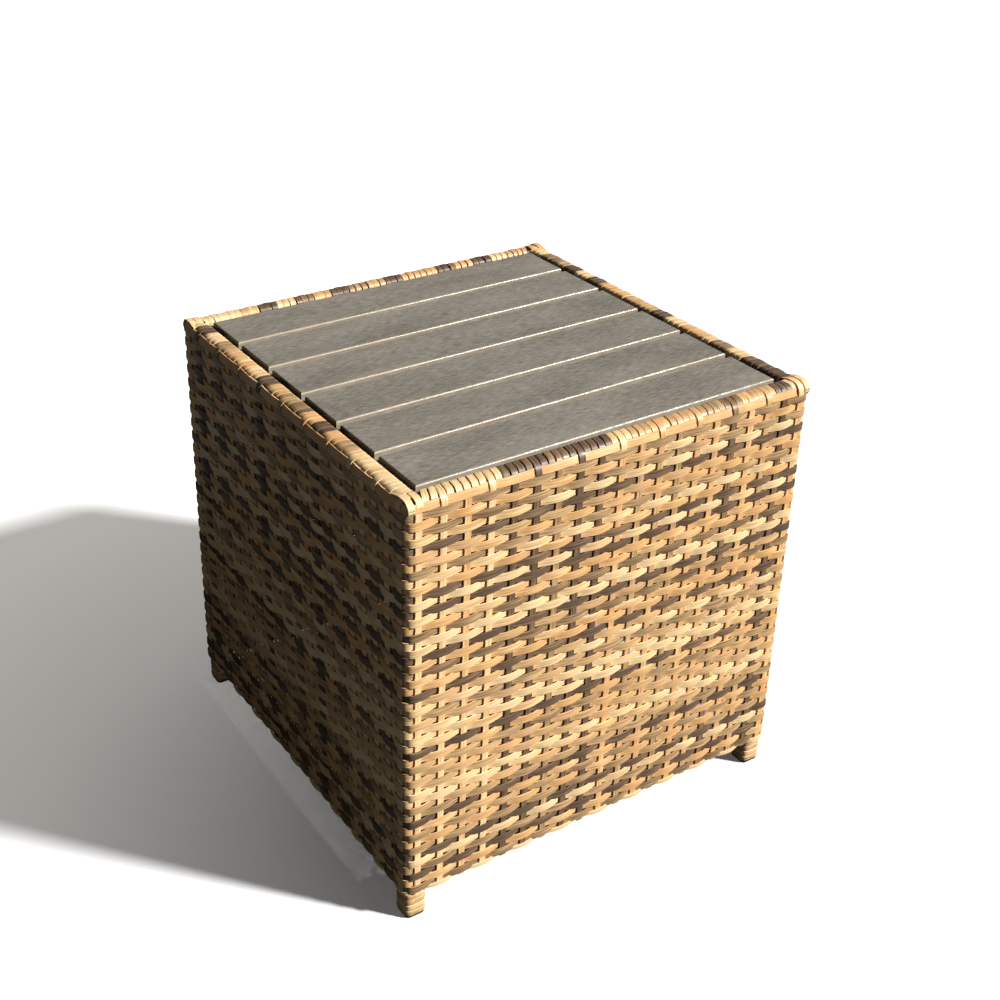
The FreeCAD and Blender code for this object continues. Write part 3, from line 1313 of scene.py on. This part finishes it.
@dataclass(frozen=True)
class FloorFinish:
    """White acrylic floor with a painted glow that only the camera sees.

    The glow is painted light: faint at the table's front, it grows with the distance from there, so the
    table's shadow pales towards its tip. Under the table the camera sees a square of painted shade instead.
    The floor throws little light back on the table, and what it throws back is cool.

    Attributes:
        white: Colour of the acrylic.
        bounce_and_painted_shade: Colour of the floor that lights the table, and the painted shade that the
            camera sees under the table.
        grain_pace: Grains a metre in the faint unevenness of its gloss.
        roughness: Of its smoothest and dullest places.
        glow_from: Where the painted glow is faintest, in metres.
        glow: Painted glow, by the distance in metres.
        painted_shade_middle: Middle of the square of painted shade under the table. The square stays back
            from the front and the
        left edge, where the floor under the table is seen.
        painted_shade_half: Half the width of that square, in metres.
        painted_shade_fade: Width over which the painted glow comes back, in metres.
    """

    white: str = "#EFEFEF"
    bounce_and_painted_shade: str = "#4A4E52"
    grain_pace: float = 300.0
    roughness: tuple[float, float] = (0.86, 0.94)
    glow_from: tuple[float, float, float] = (0.0, -0.254, 0.0)
    glow: tuple[tuple[float, str], ...] = ((0.27, "#4C4A48"), (0.65, "#928F8A"), (0.98, "#A8A49F"))
    painted_shade_middle: tuple[float, float, float] = (0.027, 0.035, 0.0)
    painted_shade_half: float = 0.215
    painted_shade_fade: float = 0.03

    def material(self) -> bpy.types.Material:
        """The floor's material."""
        material, tree, shader = new_material("floor_white_painted_glow_and_shade")
        place = add_node(tree, "TexCoord").outputs["Object"]
        grain = add_node(tree, "TexNoise", Vector=place, Scale=self.grain_pace, Detail=2.0, Roughness=0.5)
        smooth, rough = self.roughness
        gloss = add_node(tree, "MapRange", Value=grain, To_Min=smooth, To_Max=rough)
        # Painted glow: emission that grows with the distance from the table's front and pales the table's
        # shadow.
        away = add_node(tree, "VectorMath", {"operation": "DISTANCE"}, i0=place, i1=self.glow_from)
        glow = add_node(tree, "ValToRGB", Fac=away.outputs["Value"])
        set_stops(glow, self.glow)
        feed(
            shader, Base_Color=linear(self.white), Roughness=gloss, Specular_IOR_Level=0.0,
            Emission_Color=glow, Emission_Strength=1.0,
        )

        # Painted shade: a square under the table where the camera sees the dull floor in place of the white
        # and its painted glow.
        centred = add_node(tree, "VectorMath", {"operation": "SUBTRACT"}, i0=place, i1=self.painted_shade_middle)
        spread = add_node(tree, "VectorMath", ABSOLUTE, i0=centred)
        axes = add_node(tree, "SeparateXYZ", i0=spread)
        square = add_node(tree, "Math", {"operation": "MAXIMUM"}, i0=axes, i1=axes.outputs[1])
        clear = add_node(
            tree, "MapRange", Value=square,
            From_Min=self.painted_shade_half, From_Max=self.painted_shade_half + self.painted_shade_fade,
        )
        seen = add_node(tree, "LightPath").outputs["Is Camera Ray"]
        lit = add_node(tree, "Math", MULTIPLY, i0=seen, i1=clear)
        # The floor as other rays see it, which is also the painted shade under the table.
        dull = add_node(tree, "BsdfDiffuse", Color=linear(self.bounce_and_painted_shade))
        mix = add_node(tree, "MixShader", i0=lit, i1=dull, i2=shader)
        output = next(node for node in tree.nodes if node.type == "OUTPUT_MATERIAL")
        feed(output, Surface=mix)
        return material


@dataclass(frozen=True)
class PackedPieces:
    """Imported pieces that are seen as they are, and what they are finished with.

    Attributes:
        finishes: Word in a piece's name, and its finish. The first word that fits holds.
    """

    finishes: tuple[tuple[str, Finish], ...] = (
        ("_leg", POWDER_COAT),
        ("_rail", POWDER_COAT),
        ("_angle", POWDER_COAT),
        ("_glide", MOULDED_BLACK),
        ("_strip", RUBBER),
        ("_batten", BATTEN),
        ("slat_screws", ZINC),
        ("slat_", StainedSlatFinish()),
    )

    def dress(self, nodes: dict[str, bpy.types.Object]) -> None:
        """Gives each of these pieces its finish.

        Args:
            nodes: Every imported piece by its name.
        """
        materials = {finish: finish.material() for finish in dict.fromkeys(dict(self.finishes).values())}
        for name, node in nodes.items():
            finish = next((finish for word, finish in self.finishes if word in name), None)
            if finish:
                node.data.materials.clear()
                node.data.materials.append(materials[finish])
                LOG.info("%s: %s", name, materials[finish].name)


# Studio


def direction(azimuth: float, elevation: float) -> Vector:
    """Direction from the table.

    Args:
        azimuth: Degrees from the front towards the right.
        elevation: Degrees above the horizon.

    Returns:
        Unit vector.
    """
    turn, climb = math.radians(azimuth), math.radians(elevation)
    return Vector((math.sin(turn) * math.cos(climb), -math.cos(turn) * math.cos(climb), math.sin(climb)))


@dataclass(frozen=True)
class Studio:
    """Pale floor, one large lamp to the right of the front, even fill, and the camera.

    Attributes:
        floor_half: Half the floor's width, in metres.
        floor_tiles: Faces along each edge of the floor.
        key_azimuth: Lamp's direction from the front towards the right, in degrees.
        key_elevation: Lamp's height above the horizon, in degrees.
        key_strength: Lamp's strength.
        key_spread: Angle that the lamp fills, in degrees.
        fill_strength: Strength of the light from all round.
        fill_colour: Its colour.
        backdrop: Colour seen behind the table.
        azimuth: Camera's direction from the front, in degrees, negative to the left.
        elevation: Camera's height above the horizon, in degrees.
        roll: Camera's tilt, in degrees.
        distance: Camera's distance from the table's middle.
        aside: How far the camera stands to its own right.
        above: How far it stands above that line.
        lens: Focal length.
        sensor: Width of the picture in the camera.
        shift: Sideways and upward shift of the picture.
        clip: Nearest and farthest that the camera sees, in metres.
    """

    floor_half: float = 30.0
    floor_tiles: int = 8
    key_azimuth: float = 43.0
    key_elevation: float = 35.0
    key_strength: float = 6.6
    key_spread: float = 5.0
    fill_strength: float = 0.08
    fill_colour: str = "#ECF0F8"
    backdrop: str = "#FFFFFF"
    azimuth: float = -32.09
    elevation: float = 26.14
    roll: float = 0.40
    distance: float = 1742.8
    aside: float = -57.1
    above: float = 170.5
    lens: float = 52.68
    sensor: float = 36.0
    shift: tuple[float, float] = (0.07, -0.10)
    clip: tuple[float, float] = (0.05, 200.0)

    def build_floor(self) -> bpy.types.Object:
        """Makes the floor.

        Returns:
            The floor, in the scene.
        """
        mesh = bmesh.new()
        tiles = self.floor_tiles
        bmesh.ops.create_grid(mesh, x_segments=tiles, y_segments=tiles, size=self.floor_half)
        floor = add_mesh_object("floor", mesh)
        floor.data.materials.append(FloorFinish().material())
        return floor

    def light(self) -> None:
        """Adds the lamp and the fill."""
        lamp = bpy.data.lights.new("key_lamp", "SUN")
        lamp.energy = self.key_strength
        lamp.angle = math.radians(self.key_spread)
        key = add_object("key_lamp", lamp)
        key.rotation_mode = "QUATERNION"
        key.rotation_quaternion = direction(self.key_azimuth, self.key_elevation).to_track_quat("Z", "Y")

        world = bpy.data.worlds.new("studio_fill")
        world.use_nodes = True
        tree = world.node_tree
        tree.nodes.clear()
        fill_colour = linear(self.fill_colour)
        fill = add_node(tree, "Background", Color=fill_colour, Strength=self.fill_strength)
        backdrop = add_node(tree, "Background", Color=linear(self.backdrop), Strength=1.0)
        seen = add_node(tree, "LightPath").outputs["Is Camera Ray"]
        mix = add_node(tree, "MixShader", i0=seen, i1=fill, i2=backdrop)
        add_node(tree, "OutputWorld", Surface=mix)
        bpy.context.scene.world = world
        bpy.context.scene.view_settings.view_transform = "Standard"

    def aim_camera(self, middle: Vector) -> None:
        """Sets the camera at the photo's angle.

        Args:
            middle: Middle of the table, in metres.
        """
        back = direction(self.azimuth, self.elevation)
        level = UP.cross(back).normalized()
        upward = back.cross(level)
        roll = math.radians(self.roll)
        right = level * math.cos(roll) + upward * math.sin(roll)
        over = upward * math.cos(roll) - level * math.sin(roll)
        place = middle + (back * self.distance + right * self.aside + over * self.above) * MM

        lens = bpy.data.cameras.new("camera")
        lens.lens = self.lens
        lens.sensor_width = self.sensor
        lens.shift_x, lens.shift_y = self.shift
        lens.clip_start, lens.clip_end = self.clip
        camera = add_object("camera", lens)
        camera.matrix_world = Matrix.Translation(place) @ Matrix((right, over, back)).transposed().to_4x4()
        bpy.context.scene.camera = camera


# Whole table


def settle(piece: bpy.types.Object, finish: bpy.types.Material, node: str) -> None:
    """Gives a strand piece its finish and its body.

    Args:
        piece: The piece.
        finish: Its material.
        node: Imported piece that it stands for.
    """
    piece.data.materials.append(finish)
    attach(piece, "cover")
    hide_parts(node)
    LOG.info("%s: %d faces", piece.name, len(piece.data.polygons))


def main() -> None:
    """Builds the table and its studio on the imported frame."""
    logging.basicConfig(level=logging.INFO, format="%(name)s %(message)s")
    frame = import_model()
    strand = ResinStrandFinish().material()

    weave = Weave()
    rim = RailWrap.rim(weave)
    bottom = RailWrap.bottom(weave)
    for side in Side:
        settle(weave.build(side), strand, f"{side.label}_woven_side")
        settle(rim.build(f"{side.label}_rim_turns", side), strand, f"{side.label}_rim_wrap")
        settle(bottom.build(f"{side.label}_bottom_turns", side), strand, f"{side.label}_bottom_wrap")

    foot = FootWrap()
    for corner in Corner:
        settle(foot.build(corner), strand, f"{corner.label}_foot_wrap")

    PackedPieces().dress(frame["nodes"])

    studio = Studio()
    studio.build_floor()
    studio.light()
    studio.aim_camera(Vector((0.0, 0.0, TABLE_HALF * MM)))


if __name__ == "__main__":
    main()
